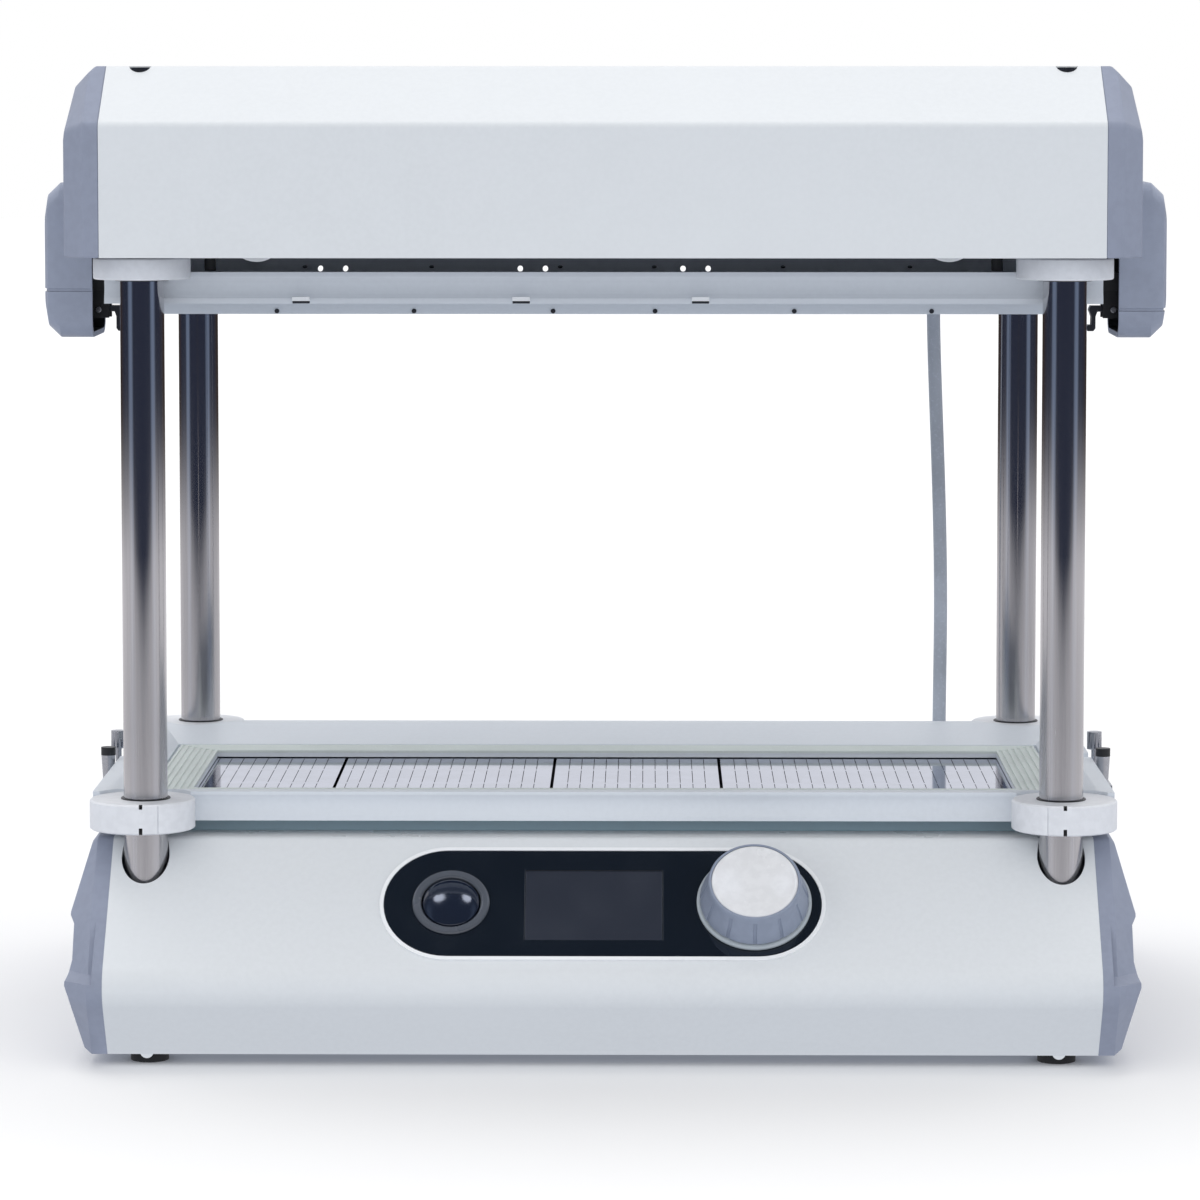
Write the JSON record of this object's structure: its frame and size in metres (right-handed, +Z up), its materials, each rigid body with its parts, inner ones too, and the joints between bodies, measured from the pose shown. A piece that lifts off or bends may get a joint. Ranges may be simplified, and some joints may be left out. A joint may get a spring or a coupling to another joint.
{
  "type": "dental vacuum former",
  "caption": "Table-top dental vacuum former with a heater head on guide columns, sliding sheet frames with latches and side handles, a slotted vacuum table and a knob-operated control panel.",
  "frame": {"origin": "on the bench, at the middle of the footprint, level with the undersides of the feet", "axes": "+X to the right seen from the control panel, +Y to the back, +Z up"},
  "size_m": [0.5328, 0.379, 0.4502],
  "materials": {
    "white_steel": "satin powder coat",
    "white_casting": "satin enamel",
    "white_plastic": "satin moulding",
    "grey_plastic": "fine texture",
    "handle_plastic": "fine texture",
    "black_plastic": "satin",
    "panel_gloss": "gloss",
    "screen": "gloss",
    "button": "gloss",
    "rocker": "gloss",
    "knob_ring": "satin",
    "knob_grey": "satin",
    "knob_white": "satin",
    "rubber": "matt",
    "silicone": "matt",
    "column_steel": "ground and polished",
    "polished_plate": "polished",
    "table_paint": "satin",
    "steel": "bright zinc",
    "dark_steel": "dark oxide",
    "tray_steel": "satin",
    "reflector_metal": "bright",
    "quartz": "milky",
    "ceramic": "matt",
    "blower": "cast",
    "board": "solder mask",
    "encoder": "bright zinc",
    "cable": "matt",
    "gland": "satin"
  },
  "bodies": {
    "base": {"base_cover": "white_steel", "head_cover": "white_steel", "base_end_cap_left": "grey_plastic", "base_end_cap_right": "grey_plastic", "head_end_cap_left": "grey_plastic", "head_end_cap_right": "grey_plastic", "power_entry": "black_plastic", "control_panel": "panel_gloss", "display_module": "screen", "button_bezel": "button", "knob_ring": "knob_ring", "rubber_feet": "rubber", "rubber_stops": "rubber", "table_gasket": "rubber", "columns_front": "column_steel", "columns_rear": "column_steel", "vacuum_plate": "polished_plate", "vacuum_table": "table_paint", "head_rails": "steel", "column_flanges": "steel", "column_bolts": "dark_steel", "base_tray": "tray_steel", "head_tray": "tray_steel", "vacuum_chamber": "tray_steel", "power_supply": "tray_steel", "reflector": "reflector_metal", "heater_tubes": "quartz", "heater_holders": "ceramic", "motor_housing": "blower", "control_board": "board", "encoder_body": "encoder", "heater_cable": "cable", "cable_glands": "gland"},
    "lower_frame": {"lower_frame": "white_casting", "lower_collars": "white_plastic", "lower_bushings": "black_plastic", "lower_seal": "silicone", "latch_studs": "steel", "side_brackets": "steel", "catch_pins": "steel"},
    "thumb_left": {"thumb_screw_left": "steel"},
    "thumb_right": {"thumb_screw_right": "steel"},
    "upper_frame": {"upper_frame": "white_casting", "upper_collars": "white_plastic", "upper_bushings": "black_plastic", "clamp_lip": "white_casting", "lip_screws": "dark_steel", "handle_left": "handle_plastic", "handle_right": "handle_plastic", "handle_cores": "black_plastic", "latch_pins": "steel"},
    "latch_left": {"latch_left": "dark_steel"},
    "latch_right": {"latch_right": "dark_steel"},
    "knob": {"knob_skirt": "knob_grey", "knob_cap": "knob_white", "encoder_shaft": "steel"},
    "start_button": {"start_button": "button"},
    "rocker": {"power_rocker": "rocker"},
    "impeller": {"motor_impeller": "blower", "motor_shaft": "steel"}
  },
  "joints": [
    {"name": "upper_frame_slide", "type": "slide", "parent": "base", "child": "upper_frame", "axis": [0, 0, 1], "range_m": [-0.2115, 0]},
    {"name": "lower_frame_slide", "type": "slide", "parent": "base", "child": "lower_frame", "axis": [0, 0, 1], "range_m": [0, 0.012]},
    {"name": "latch_right_swing", "type": "hinge", "parent": "upper_frame", "child": "latch_right", "pos_m": [0.243, 0, 0.3345], "axis": [0, 1, 0], "range_deg": [0, 12]},
    {"name": "latch_left_swing", "type": "hinge", "parent": "upper_frame", "child": "latch_left", "pos_m": [-0.243, 0, 0.3345], "axis": [0, -1, 0], "range_deg": [0, 12]},
    {"name": "knob_turn", "type": "hinge", "parent": "base", "child": "knob", "pos_m": [0.0685, -0.16451, 0.07612], "axis": [0, -0.713, 0.7011], "continuous": true},
    {"name": "start_button_push", "type": "slide", "parent": "base", "child": "start_button", "axis": [0, -0.713, 0.7011], "range_m": [-0.0015, 0], "stiffness_N_per_m": 600},
    {"name": "rocker_tilt", "type": "hinge", "parent": "base", "child": "rocker", "pos_m": [-0.1665, 0.15109, 0.07836], "axis": [-1, 0, 0], "range_deg": [0, 16]},
    {"name": "thumb_left_turn", "type": "hinge", "parent": "lower_frame", "child": "thumb_left", "pos_m": [-0.2385, 0.026, 0.112], "axis": [0, 0, 1], "continuous": true},
    {"name": "thumb_right_turn", "type": "hinge", "parent": "lower_frame", "child": "thumb_right", "pos_m": [0.2385, 0.026, 0.112], "axis": [0, 0, 1], "continuous": true},
    {"name": "impeller_spin", "type": "hinge", "parent": "base", "child": "impeller", "pos_m": [0, 0, 0.06], "axis": [0, 0, 1], "continuous": true}
  ]
}
